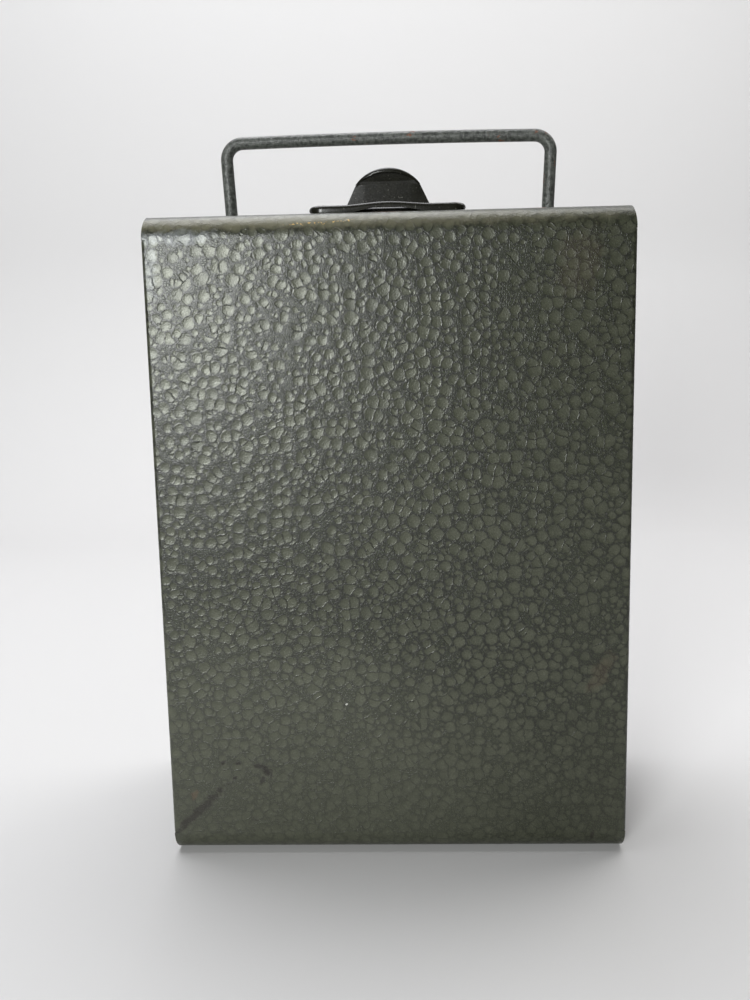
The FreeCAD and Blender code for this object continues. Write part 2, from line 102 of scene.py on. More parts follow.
@dataclass
class Signal:
    """A shader socket's output, on which Python's operators add Math nodes."""

    recipe: "Recipe"
    socket: NodeSocket

    def math(self, operation: str, *others: Term, turned: bool = False) -> "Signal":
        """Add a Math node on this signal.

        Args:
            operation: The Math node's operation.
            others: Its further inputs.
            turned: Whether this signal is the second input instead of the first.

        Returns:
            The node's result.
        """
        terms = [self, *others]
        if turned:
            terms.reverse()
        return self.recipe.node("ShaderNodeMath", {"operation": operation}, dict(enumerate(terms)))

    def __add__(self, other: Term) -> "Signal":
        """This plus other."""
        return self.math("ADD", other)

    __radd__ = __add__

    def __sub__(self, other: Term) -> "Signal":
        """This less other."""
        return self.math("SUBTRACT", other)

    def __rsub__(self, other: Term) -> "Signal":
        """Other less this."""
        return self.math("SUBTRACT", other, turned=True)

    def __mul__(self, other: Term) -> "Signal":
        """This times other."""
        return self.math("MULTIPLY", other)

    __rmul__ = __mul__

    def __truediv__(self, other: Term) -> "Signal":
        """This over other."""
        return self.math("DIVIDE", other)

    def __abs__(self) -> "Signal":
        """This without its sign."""
        return self.math("ABSOLUTE")

    def at_most(self, other: Term) -> "Signal":
        """The smaller of the two."""
        return self.math("MINIMUM", other)

    def at_least(self, other: Term) -> "Signal":
        """The larger of the two."""
        return self.math("MAXIMUM", other)

    def ramp(self, low: Term, high: Term) -> "Signal":
        """Rise smoothly from 0 at low to 1 at high, and fall where high is the smaller.

        Args:
            low: Where the result is 0.
            high: Where the result is 1.

        Returns:
            The eased value.
        """
        settings = {"interpolation_type": "SMOOTHSTEP"}
        inputs = {"Value": self, "From Min": low, "From Max": high}
        return self.recipe.node("ShaderNodeMapRange", settings, inputs)


    def axes(self) -> tuple["Signal", "Signal", "Signal"]:
        """Split a vector into its three numbers."""
        split = self.recipe.node("ShaderNodeSeparateXYZ", inputs={0: self})
        outputs = split.socket.node.outputs
        return split, Signal(self.recipe, outputs[1]), Signal(self.recipe, outputs[2])

    def noise(self, size: float, detail: float = 3.0, roughness: float = 0.55) -> "Signal":
        """Make noise around 0.5, with clouds of a size in metres and finer ones of a given strength."""
        inputs = {"Vector": self, "Scale": 1 / size, "Detail": detail, "Roughness": roughness}
        return self.recipe.node("ShaderNodeTexNoise", inputs=inputs)

    def bump(self, distance: float) -> "Signal":
        """Turn heights into normals, with a height of 1 as a distance in metres."""
        inputs = {"Strength": 1.0, "Distance": distance, "Height": self}
        return self.recipe.node("ShaderNodeBump", inputs=inputs)


class Recipe:
    """The nodes of one material."""

    def __init__(self, name: str) -> None:
        """Start an empty material.

        Args:
            name: The material's name.
        """
        self.material = bpy.data.materials.new(name)
        self.material.use_nodes = True
        self.tree = self.material.node_tree
        self.tree.nodes.clear()

    def node(
        self,
        kind: str,
        settings: Optional[Mapping[str, Any]] = None,
        inputs: Optional[Mapping[Union[str, int], Any]] = None,
        output: Union[str, int] = 0,
    ) -> Signal:
        """Add a node.

        Args:
            kind: The node's type.
            settings: Its properties.
            inputs: Values or signals for its sockets, by name or number.
            output: The socket that is wanted.

        Returns:
            That output.
        """
        made = self.tree.nodes.new(kind)
        for key, value in (settings or {}).items():
            setattr(made, key, value)
        for key, value in (inputs or {}).items():
            if isinstance(value, Signal):
                self.tree.links.new(value.socket, made.inputs[key])
            elif isinstance(value, tuple) and len(value) == 3 and made.inputs[key].type == "RGBA":
                made.inputs[key].default_value = (*value, 1.0)
            else:
                made.inputs[key].default_value = value
        return Signal(self, made.outputs[output])

    def place(self) -> Signal:
        """Object coordinates, in metres."""
        return self.node("ShaderNodeTexCoord", output="Object")

    def mix(self, share: Term, first: Any, second: Any) -> Signal:
        """Blend a share of the second colour into the first."""
        return self.node("ShaderNodeMix", {"data_type": "RGBA"}, {0: share, 6: first, 7: second}, 2)

    def finish(self, inputs: Mapping[str, Any]) -> Material:
        """Close the recipe with its surface shader.

        Args:
            inputs: Values and signals for the surface shader.

        Returns:
            The material.
        """
        surface = self.node("ShaderNodeBsdfPrincipled", inputs=inputs)
        output = self.tree.nodes.new("ShaderNodeOutputMaterial")
        self.tree.links.new(surface.socket, output.inputs["Surface"])
        return self.material


class Flow(Enum):
    """How a sheet's pattern lies on a piece."""

    SHEET = "along the flat sheet before it was bent"
    END = "across an end panel"


@dataclass(frozen=True)
class DimpleLayer:
    """Dimples of one size: their spacing, their radii as shares of it, and how many cells hold one."""

    spacing: float
    least: float
    most: float
    share: float


@dataclass(frozen=True)
class Mark:
    """A worn or stained place on the sheet, in millimetres: a ragged oval, whole or broken into specks."""

    across: float
    up: float
    half_length: float
    half_width: float
    degrees: float
    colour: Colour
    strength: float
    ragged: float = 0.6
    specks: float = 0.0
    metal: float = 0.0
    roughness: float = 0.4
    finest_grit: float = 0.6
    core: float = 0.4
    speck_range: Range = (0.56, 0.62)

    def mask(self, flat: Signal) -> Signal:
        """Say how strong the mark is at each place.

        Args:
            flat: The place on the sheet.

        Returns:
            Its strength, from 0 to 1.
        """
        across, up, _ = flat.axes()
        across = across - self.across * MM
        up = up - self.up * MM
        turn = math.radians(self.degrees)
        along = (across * math.cos(turn) + up * math.sin(turn)) / (self.half_length * MM)
        aside = (up * math.cos(turn) - across * math.sin(turn)) / (self.half_width * MM)
        grit = flat.noise(max(self.half_width, self.finest_grit) * MM, 4.0, 0.65)
        reach = (along * along + aside * aside).math("SQRT") + (grit - 0.5) * (2 * self.ragged)
        mask = reach.ramp(1.0, self.core)
        if self.specks:
            mask = mask * flat.noise(self.specks * MM, 2.0).ramp(*self.speck_range)
        return mask * self.strength


GRIME = from_srgb(22, 17, 9)
SMUDGES = (
    (-45.7, 30.9, 2.4, 1.0, 0, 0.75, 1.0),
    (-42.8, 29.2, 2.8, 1.6, -55, 0.9, 0.9),
    (-44.4, 26.1, 2.6, 1.0, 60, 0.75, 1.0),
    (-57.3, 32.2, 1.5, 0.9, 60, 0.85, 0.9),
    (-52.4, 31.9, 1.4, 0.8, 0, 0.85, 0.9),
    (-53.6, 26.8, 1.4, 0.7, 30, 0.85, 0.9),
    (-48.2, 12.1, 2.6, 1.4, 20, 0.4, 1.2),
    (64, 6, 2.4, 0.8, 80, 0.7, 0.9),
)
LID_MARKS = (
    # The bend's band: brownish worn paint, lightened as painted light, more so towards the left. Then a
    # painted reflection of the window at the top-left corner and down the left edge
    Mark(0, 205.3, 95, 4.2, 0, from_srgb(98, 95, 77), 0.5),
    # Painted light: the band is lighter towards the left, where more light falls
    Mark(-75, 205.0, 103, 3.6, 0, from_srgb(118, 114, 92), 0.3, 0.9),
    # Painted reflection: a pale bluish haze at the top-left corner and down the left edge
    Mark(-64, 200.6, 16, 3.0, 0, from_srgb(172, 177, 181), 0.18, 1.1),
    Mark(-72.5, 192, 11, 2.4, 90, from_srgb(172, 177, 181), 0.16, 1.1),
    # Bare metal and rust at the hasp
    Mark(-24, 203.9, 9, 0.8, 1, from_srgb(214, 176, 104), 0.95, 0.3, specks=0.8, metal=0.7),
    Mark(-14, 204.6, 5, 0.6, 4, from_srgb(206, 172, 104), 0.8, 0.3, specks=0.8, metal=0.7),
    Mark(1, 210.6, 6.5, 1.3, 0, from_srgb(112, 70, 48), 0.6),
    Mark(47, 210.0, 2.2, 0.8, 5, from_srgb(122, 74, 50), 0.7),
    # Painted light: a broad pale patch at the lower left, as if lit from the left. Then scrapes and rust
    # at the foot
    Mark(-50, 30, 110, 60, 0, from_srgb(116, 118, 104), 0.13, 0.4),
    Mark(-66.1, 15.2, 15.5, 2.0, 43, from_srgb(24, 19, 11), 0.8, 1.0, roughness=0.6),
    *(Mark(*oval, GRIME, strength, ragged, roughness=0.6) for *oval, strength, ragged in SMUDGES),
    Mark(-67.3, 20.9, 2.2, 1.6, 60, from_srgb(120, 72, 50), 0.14, 1.0),
    # A pale fleck and brown tints
    Mark(-16, 52, 0.6, 0.4, 30, from_srgb(196, 196, 188), 0.8, 0.3),
    Mark(58, 190, 14, 8, 70, from_srgb(80, 66, 48), 0.13, 0.9),
    Mark(66, 62, 9, 4, 60, from_srgb(84, 62, 44), 0.15, 0.9),
)


@dataclass
class Ground:
    """What the paint follows: the place, how clear and how close the dimples are, and fine noise."""

    place: Signal
    fade: Term
    crowd: Signal
    fleck: Signal


@dataclass
class Coat:
    """The paint so far: its colour, its height from 0 to 1, and how much metal flake shows."""

    colour: Signal
    height: Signal
    flake: Signal


@dataclass(frozen=True)
class HammeredPaint:
    """Olive-grey hammered enamel: shallow round dimples in a fine, speckled net."""

    name: str
    flow: Flow
    marks: tuple[Mark, ...] = ()
    dimple: Colour = from_srgb(77, 79, 65)
    net: Colour = from_srgb(21, 22, 15)
    dark_grain: Colour = from_srgb(34, 38, 25)
    pale_grain: Colour = from_srgb(58, 63, 45)
    even: Colour = from_srgb(58, 59, 47)
    primer: Colour = from_srgb(116, 117, 108)
    worn_primer: Colour = from_srgb(84, 80, 68)
    layers: tuple[DimpleLayer, ...] = (
        DimpleLayer(4.2 * MM, 0.38, 0.62, 0.95),
        DimpleLayer(2.9 * MM, 0.36, 0.60, 0.90),
        DimpleLayer(1.7 * MM, 0.34, 0.56, 0.55),
    )
    wobble: float = 0.9 * MM
    wobble_size: float = 3.0 * MM
    fray: float = 0.5 * MM
    patch_size: float = 24.0 * MM
    fewest: float = 0.7
    crowding: float = 0.5
    grain_size: float = 0.7 * MM
    grain_wall: Range = (0.02, 0.25)
    fleck_size: float = 0.5 * MM
    evenness: float = 0.45
    net_level: float = 0.55
    net_rise: float = 0.04
    net_scatter: float = 0.1
    net_flake: float = 0.15
    net_glitter: float = 0.4
    wall_share: float = 1.8
    outline: float = 0.6 * MM
    outline_groove: float = 0.06
    relief: float = 0.23 * MM
    rim_level: float = 0.62
    bowl_share: float = 0.57 / (4.2 * MM)
    bowl_grain: float = 0.07
    least_metal: float = 0.05
    flake_metal: float = 0.17
    roughness: float = 0.33
    flake_gloss: float = 0.05
    skin: Range = (0.3 * MM, 0.5 * MM)
    end_skin: float = 74.18 * MM
    end_strength: float = 0.8
    # Each fade: the least strength, where it lies, and where it is full
    foot_fade: Place = (0.42, 4 * MM, 75 * MM)
    side_fade: Place = (0.75, 72 * MM, 10 * MM)
    bend_fade: Place = (0.55, 208 * MM, 198 * MM)

    def sheet_place(self, recipe: Recipe) -> tuple[Signal, Signal]:
        """Find where a point lies on the flat sheet.

        Args:
            recipe: The material's recipe.

        Returns:
            Its place on the sheet, and its depth under the outer skin.
        """
        if self.flow is Flow.SHEET:
            place = recipe.node("ShaderNodeAttribute", {"attribute_name": SHEET_PLACE}, output="Vector")
            return place, place.axes()[2]
        across, along, up = recipe.place().axes()
        place = recipe.node("ShaderNodeCombineXYZ", inputs={"X": along, "Y": up})
        return place, self.end_skin - abs(across)

    def fade(self, flat: Signal) -> Term:
        """Say how clear the dimples are: they flatten over the bends and thin out towards the foot.

        Args:
            flat: The place on the sheet.

        Returns:
            Their strength, from 0 to 1.
        """
        if self.flow is Flow.END:
            return self.end_strength
        across, up, _ = flat.axes()
        fade = 1.0
        fades = ((up, self.foot_fade), (across, self.side_fade), (up, self.bend_fade))
        for value, (least, start, end) in fades:
            fade = fade * (least + (1 - least) * value.ramp(start, end))
        return fade

    def cells(self, place: Signal, size: float) -> tuple[Signal, Signal, Signal]:
        """Divide the sheet into rounded cells.

        Args:
            place: The place on the sheet.
            size: How far apart the cells lie.

        Returns:
            The distance from the cell's middle, the distance to its wall, both as a share of size, and a
            random colour for each cell.
        """
        kind = "ShaderNodeTexVoronoi"
        inputs = {"Vector": place, "Scale": 1 / size}
        middle, wall = (
            place.recipe.node(kind, {"feature": feature, "voronoi_dimensions": "2D"}, inputs)
            for feature in ("F1", "DISTANCE_TO_EDGE")
        )
        return middle, wall, Signal(place.recipe, middle.socket.node.outputs["Color"])

    def drift(self, flat: Signal) -> Signal:
        """Shift the places on the sheet so that the dimples come out uneven, with frayed edges.

        Args:
            flat: The place on the sheet.

        Returns:
            The shifted place.
        """
        place = flat
        shifts = ((self.wobble_size, 1.0, self.wobble), (self.grain_size, 2.0, self.fray))
        for size, detail, reach in shifts:
            inputs = {"Vector": flat, "Scale": 1 / size, "Detail": detail}
            shift = flat.recipe.node("ShaderNodeTexNoise", {"noise_dimensions": "2D"}, inputs, "Color")
            inputs = {0: shift, 1: (reach,) * 3, 2: place}
            place = flat.recipe.node("ShaderNodeVectorMath", {"operation": "MULTIPLY_ADD"}, inputs)
        return place

    def net_coat(self, ground: Ground) -> Coat:
        """Make the speckled net between the dimples.

        Args:
            ground: What the paint follows.

        Returns:
            The net alone.
        """
        mix = ground.place.recipe.mix
        wall, chances = self.cells(ground.place, self.grain_size)[1:]
        speck = chances.axes()[0]
        crumb = wall.ramp(*self.grain_wall)
        grain = mix(speck * 0.5 + ground.fleck * 0.5, self.dark_grain, self.pale_grain)
        colour = mix((1 - ground.fade) * self.evenness, mix(crumb, self.net, grain), self.even)
        height = self.net_level + crumb * (self.net_rise + speck * self.net_scatter)
        return Coat(colour, height, crumb * (self.net_flake + speck * self.net_glitter))

    def add_dimples(self, ground: Ground, layer: DimpleLayer, coat: Coat) -> Coat:
        """Sink one size of dimples into the paint.

        Args:
            ground: What the paint follows.
            layer: The dimples' size.
            coat: The paint so far.

        Returns:
            The paint with these dimples.
        """
        mix = ground.place.recipe.mix
        middle, wall, chances = self.cells(ground.place, layer.spacing)
        chance, size, shade = chances.axes()
        held = chance.math("LESS_THAN", ground.crowd * layer.share)
        radius = (layer.least + size * (layer.most - layer.least)) * held
        inside = (radius - middle).at_most(wall * self.wall_share) * layer.spacing
        spread = (middle / radius.at_least(0.01)).at_most(1.2)
        rim = spread * spread
        body = inside.ramp(0.0, self.outline) * ground.fade
        line = inside.ramp(-0.8 * self.outline, 0.0) * inside.ramp(0.9 * self.outline, 0.0) * ground.fade
        # Painted shade: each dimple's colour darkens from its middle towards its rim, so that it looks
        # domed
        pale = mix(shade * 0.25 + ground.fleck * 0.3 + rim * 0.4, self.dimple, self.dark_grain)
        colour = mix(line * 0.7, mix(body * 0.9, coat.colour, pale), self.net)
        sunk = (1 - rim) * (self.bowl_share * layer.spacing)
        bowl = self.rim_level - sunk + ground.fleck * self.bowl_grain
        height = coat.height * (1 - body) + bowl * body - line * self.outline_groove
        flake = coat.flake * (1 - body) + body * (1.0 - shade * 0.3 - rim * 0.3)
        return Coat(colour, height, flake * (1 - line * 0.5))

    def material(self) -> Material:
        """Make the paint."""
        recipe = Recipe(self.name)
        flat, depth = self.sheet_place(recipe)
        crowd = self.fewest + self.crowding * flat.noise(self.patch_size, 1.0).ramp(*MIDDLING)
        fleck = flat.noise(self.fleck_size, 2.0, 0.6).ramp(*MIDDLING)
        ground = Ground(self.drift(flat), self.fade(flat), crowd, fleck)
        coat = self.net_coat(ground)
        for layer in reversed(self.layers):
            coat = self.add_dimples(ground, layer, coat)
        colour = coat.colour
        metallic = self.least_metal + coat.flake * self.flake_metal
        roughness = self.roughness - coat.flake * self.flake_gloss
        for mark in self.marks:
            mask = mark.mask(flat)
            colour = recipe.mix(mask, colour, mark.colour)
            metallic = metallic * (1 - mask) + mask * mark.metal
            roughness = roughness * (1 - mask) + mask * mark.roughness
        inner = depth.ramp(*self.skin)
        outer = 1 - inner
        scuff = flat.noise(self.patch_size, 6.0, 0.72).ramp(0.42, 0.72)
        return recipe.finish({
            "Base Color": recipe.mix(inner, colour, recipe.mix(scuff, self.primer, self.worn_primer)),
            "Metallic": metallic * outer,
            "Roughness": roughness,
            "Specular IOR Level": 0.45,
            "Normal": (coat.height * outer).bump(self.relief),
        })


@dataclass(frozen=True)
class SmoothEnamel:
    """Smooth mottled enamel with pale specks and spots of rust, bright along its edges: partly wear,
    partly a painted highlight.
    """

    name: str
    pale: Colour
    deep: Colour
    roughness: float
    mottle: float
    rust_from: float
    peel: float
    # Pale colour of specks and bright edges; on the edges it is partly a painted highlight
    worn: Colour = from_srgb(150, 149, 140)
    rust: Colour = from_srgb(108, 64, 40)
    grain_size: float = 0.5 * MM
    speck_size: float = 0.9 * MM
    rust_size: float = 5.0 * MM
    rust_edge: float = 0.05
    worn_from: Range = (0.4, 0.6)
    speck_from: Range = (0.71, 0.75)
    sheen: float = 0.4

    def material(self) -> Material:
        """Make the enamel."""
        recipe = Recipe(self.name)
        place = recipe.place()
        cloud = place.noise(self.mottle, 4.0, 0.6).ramp(0.3, 0.7)
        grain = place.noise(self.grain_size, 2.0)
        edge = recipe.node("ShaderNodeAttribute", {"attribute_name": EDGE_WEAR_AND_HIGHLIGHT}, output="Fac")
        # Bright bare edges: partly worn metal, partly a painted highlight along the sheet's edges
        bare_edge_and_highlight = edge.ramp(*self.worn_from) * place.noise(self.mottle, 3.0, 0.65).ramp(0.45, 0.65)
        speck = place.noise(self.speck_size, 1.0).ramp(*self.speck_from)
        rust = place.noise(self.rust_size, 4.0, 0.7)
        rust = rust.ramp(self.rust_from, self.rust_from + self.rust_edge)
        colour = recipe.mix(cloud * 0.7 + grain * 0.3, self.deep, self.pale)
        colour = recipe.mix(rust * 0.85, colour, self.rust)
        return recipe.finish({
            "Base Color": recipe.mix((bare_edge_and_highlight * 0.6 + speck * 0.25).at_most(1.0), colour, self.worn),
            "Metallic": bare_edge_and_highlight * 0.6,
            "Roughness": self.roughness + (grain - 0.5) * 0.2 + rust * 0.3,
            "Specular IOR Level": self.sheen,
            "Normal": (grain + cloud * 0.5).bump(self.peel),
        })


@dataclass(frozen=True)
class BrightSteel:
    """Drawn or tinned steel: fine streaks along one way, dull clouds and a few brown stains."""

    name: str
    pale: Colour
    deep: Colour
    roughness: float
    streak: Place
    stain: Colour = from_srgb(96, 78, 58)
    stain_size: float = 9.0 * MM
    cloud_size: float = 5.0 * MM
    score: float = 0.01 * MM

    def material(self) -> Material:
        """Make the steel."""
        recipe = Recipe(self.name)
        place = recipe.place()
        drawn = recipe.node("ShaderNodeVectorMath", {"operation": "MULTIPLY"}, {0: place, 1: self.streak})
        streaks = drawn.noise(1.0, 3.0, 0.6)
        cloud = place.noise(self.cloud_size, 4.0, 0.6)
        stain = place.noise(self.stain_size, 5.0, 0.7).ramp(0.56, 0.7)
        colour = recipe.mix(streaks * 0.5 + cloud * 0.5, self.deep, self.pale)
        return recipe.finish({
            "Base Color": recipe.mix(stain * 0.6, colour, self.stain),
            "Metallic": 1 - stain * 0.5,
            "Roughness": self.roughness + (cloud - 0.5) * 0.25 + stain * 0.25,
            "Normal": streaks.bump(self.score),
        })


@dataclass(frozen=True)
class SetRivet:
    """Rivet steel that was painted with its sheet and has worn bright on its crown."""

    name: str = "rivet_steel"
    paint: Colour = from_srgb(46, 47, 40)
    dust: Colour = from_srgb(78, 76, 66)
    bright: Colour = from_srgb(146, 144, 136)
    scratch_size: float = 0.8 * MM
    scratch_depth: float = 0.02 * MM
    crown: Range = (0.75, 0.98)

    def material(self) -> Material:
        """Make the rivets' finish."""
        recipe = Recipe(self.name)
        place = recipe.place()
        facing = recipe.node("ShaderNodeTexCoord", output="Normal").axes()[2]
        scratch = place.noise(self.scratch_size, 4.0, 0.65)
        worn = facing.ramp(*self.crown) * scratch.ramp(0.38, 0.58)
        return recipe.finish({
            "Base Color": recipe.mix(worn, recipe.mix(scratch * 0.5, self.paint, self.dust), self.bright),
            "Metallic": worn * 0.95,
            "Roughness": 0.5 - worn * 0.15 + (scratch - 0.5) * 0.2,
            "Normal": scratch.bump(self.scratch_depth),
        })


@dataclass(frozen=True)
class Lamp:
    """A soft square lamp: its place and side in metres, its power in watts, and its colour."""

    name: str
    place: Place
    size: float
    power: float
    colour: Colour
    aim: Place = (0, 0, 0.1)

    def hang(self) -> None:
        """Hang the lamp so that it faces the box."""
        data = bpy.data.lights.new(self.name, "AREA")
        data.size = self.size
        data.energy = self.power
        data.color = self.colour
        lamp = bpy.data.objects.new(self.name, data)
        lamp.location = self.place
        lamp.rotation_euler = (Vector(self.aim) - Vector(self.place)).to_track_quat("-Z", "Y").to_euler()
        bpy.context.scene.collection.objects.link(lamp)


@dataclass
class Studio:
    """Pale floor and backdrop, soft lamps, and the camera."""

    sensor: float = 36.0
    focal_share: float = 0.95
    nearest: float = 0.01
    camera_place: Vector = field(default_factory=lambda: Vector((4.89, -334.71, 164.68)) * MM)
    yaw: float = -1.989
    pitch: float = 8.791
    roll: float = -1.232
    paper: Colour = from_srgb(213, 212, 212)
    floor_size: Range = (5.0, 2.5)
    floor_middle: float = -0.75
    cove: float = 0.3
    cove_steps: int = 16
    wall: float = 1.6
    air: Colour = (0.92, 0.9, 0.86)
    air_strength: float = 0.11
    lamps: tuple[Lamp, ...] = (
        Lamp("window", (-0.5, -1.3, 0.36), 0.4, 18.0, (0.96, 0.98, 0.98)),
        Lamp("back", (0.5, 0.35, 0.9), 0.5, 2.6, (1.0, 0.99, 0.97)),
        Lamp("ceiling", (-0.2, 0.25, 1.2), 0.9, 13.0, (0.97, 0.98, 1.0)),
    )

    def camera(self) -> None:
        """Set up the camera at the viewing angle."""
        yaw, pitch, roll = (math.radians(angle) for angle in (self.yaw, self.pitch, self.roll))
        run = math.cos(pitch)
        ahead = Vector((math.sin(yaw) * run, math.cos(yaw) * run, -math.sin(pitch)))
        level = Vector((math.cos(yaw), -math.sin(yaw), 0))
        upright = level.cross(ahead)
        right = level * math.cos(roll) + upright * math.sin(roll)
        above = upright * math.cos(roll) - level * math.sin(roll)
        data = bpy.data.cameras.new("camera")
        data.sensor_fit = "VERTICAL"
        data.sensor_height = self.sensor
        data.lens = self.sensor * self.focal_share
        data.clip_start = self.nearest
        camera = bpy.data.objects.new("camera", data)
        turn = Matrix((right, above, -ahead)).transposed().to_4x4()
        camera.matrix_world = Matrix.Translation(self.camera_place) @ turn
        bpy.context.scene.collection.objects.link(camera)
        bpy.context.scene.camera = camera

    def backdrop(self) -> None:
        """Lay a pale floor that curves up into a wall behind the box."""
        width, depth = self.floor_size
        back = self.floor_middle + depth / 2
        bpy.ops.object.select_all(action="DESELECT")
        bpy.ops.mesh.primitive_plane_add(size=1, location=(0, self.floor_middle, 0))
        work = Workpiece("studio_floor", (width, depth, 1))
        work.pick(Pick.EDGES, lambda p: p.y > back - NEAR)
        work.spin((0, back, self.cove), (1, 0, 0), 90, self.cove_steps)
        work.extrude(0, 0, self.wall)
        floor = work.close()
        paper = Recipe("studio_paper").finish({"Base Color": self.paper, "Roughness": 0.9})
        floor.data.materials.append(paper)

    def world(self) -> None:
        """Fill the room with soft light."""
        world = bpy.data.worlds.new("studio_air")
        world.use_nodes = True
        air = world.node_tree.nodes["Background"]
        air.inputs["Color"].default_value = (*self.air, 1.0)
        air.inputs["Strength"].default_value = self.air_strength
        bpy.context.scene.world = world

    def build(self) -> None:
        """Set up everything around the box."""
        self.camera()
        self.backdrop()
        self.world()
        for lamp in self.lamps:
            lamp.hang()
        bpy.context.scene.view_settings.view_transform = "Standard"


class Pick(Enum):
    """What a selection is made of."""

    VERTS = "verts"
    EDGES = "edges"
    FACES = "faces"


class Workpiece:
    """A new mesh under the modelling operators."""

    def __init__(self, name: str, scale: Sequence[float] = (1, 1, 1)) -> None:
        """Take the primitive that was just added, size it and open it for editing.

        Args:
            name: The piece's name.
            scale: How far to stretch the primitive along its own axes.
        """
        self.object = bpy.context.active_object
        self.object.name = self.object.data.name = name
        self.object.scale = scale
        bpy.ops.object.transform_apply(location=True, rotation=True, scale=True)
        bpy.ops.object.mode_set(mode="EDIT")

    def pick(self, kind: Pick, test: Callable[[Vector], bool], free: bool = False) -> None:
        """Select the parts of one kind whose every corner passes a test.

        Args:
            kind: Vertices, edges or faces.
            test: Whether a corner's place is wanted.
            free: Whether only parts at the mesh's free rim are wanted.
        """
        bpy.context.tool_settings.mesh_select_mode = tuple(kind is other for other in Pick)
        bpy.ops.mesh.select_all(action="DESELECT")
        mesh = bmesh.from_edit_mesh(self.object.data)
        for part in getattr(mesh, kind.value):
            corners = [part] if kind is Pick.VERTS else part.verts
            if all(test(corner.co) for corner in corners) and (not free or part.is_boundary):
                part.select_set(True)
        mesh.select_flush_mode()
        bmesh.update_edit_mesh(self.object.data)

    def extrude(self, *step: float) -> None:
        """Draw the selection out along a straight step."""
        bpy.ops.mesh.extrude_region_move(TRANSFORM_OT_translate={"value": step})

    def spin(self, centre: Sequence[float], axis: Sequence[float], degrees: float, steps: int) -> None:
        """Draw the selection out round an axis through a centre, by the right-hand rule."""
        bpy.ops.mesh.spin(steps=steps, angle=-math.radians(degrees), center=centre, axis=axis)

    def turn(self, centre: Sequence[float], degrees: float) -> None:
        """Turn the selection about a line along X, by the right-hand rule."""
        bpy.ops.transform.rotate(value=-math.radians(degrees), orient_axis="X", center_override=centre)

    def cut(self, place: Sequence[float], normal: Sequence[float]) -> None:
        """Cut the whole mesh along a plane and keep both sides."""
        bpy.ops.mesh.select_all(action="SELECT")
        bpy.ops.mesh.bisect(plane_co=place, plane_no=normal, threshold=SNAP)

    def close(self, smooth_degrees: float = 35.0) -> Object:
        """Merge doubles, turn the faces outwards and leave edit mode.

        Args:
            smooth_degrees: The sharpest edge that is shaded smooth.

        Returns:
            The piece.
        """
        bpy.ops.mesh.select_all(action="SELECT")
        bpy.ops.mesh.remove_doubles(threshold=SNAP)
        bpy.ops.mesh.normals_make_consistent(inside=False)
        bpy.ops.object.mode_set(mode="OBJECT")
        bpy.ops.object.shade_smooth_by_angle(angle=math.radians(smooth_degrees))
        return self.object


def add_modifier(piece: Object, kind: str, **settings: Any) -> None:
    """Add a modifier to a piece and apply it.

    Args:
        piece: The piece.
        kind: The modifier's type.
        settings: Its properties.
    """
    modifier = piece.modifiers.new(kind.lower(), kind)
    for key, value in settings.items():
        setattr(modifier, key, value)
    bpy.ops.object.select_all(action="DESELECT")
    piece.select_set(True)
    bpy.context.view_layer.objects.active = piece
    bpy.ops.object.modifier_apply(modifier=modifier.name)


def mark_edges(piece: Object) -> None:
    """Write how sharply the sheet turns at each point, which the enamel's bright edges follow: partly
    wear, partly a painted highlight.

    Args:
        piece: The finished piece.
    """
    mesh = bmesh.new()
    mesh.from_mesh(piece.data)
    marks = piece.data.attributes.new(EDGE_WEAR_AND_HIGHLIGHT, "FLOAT", "POINT")
    for corner, mark in zip(mesh.verts, marks.data):
        mark.value = max(edge.calc_face_angle(0.0) for edge in corner.link_edges) / SHARP
    mesh.free()


def soften(piece: Object, width: float, segments: int, degrees: float) -> None:
    """Round those edges of a piece that turn by more than an angle."""
    limit = math.radians(degrees)
    add_modifier(piece, "BEVEL", width=width, segments=segments, limit_method="ANGLE", angle_limit=limit)


@dataclass
class Piece:
    """A finer piece that takes the place of a CAD node."""

    name: str
    node: str
    body: Body
    slot: Slot

    def build(self) -> Object:
        """Model the piece."""
        raise NotImplementedError

    def make(self, material: Material) -> None:
        """Model the piece, paint it and put it on its body.

        Args:
            material: Its finish.
        """
        piece = self.build()
        piece.data.materials.clear()
        piece.data.materials.append(material)
        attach(piece, self.body.value)
        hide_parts(self.node)
        LOG.info("%s: %d faces on %s", piece.name, len(piece.data.polygons), self.body.value)


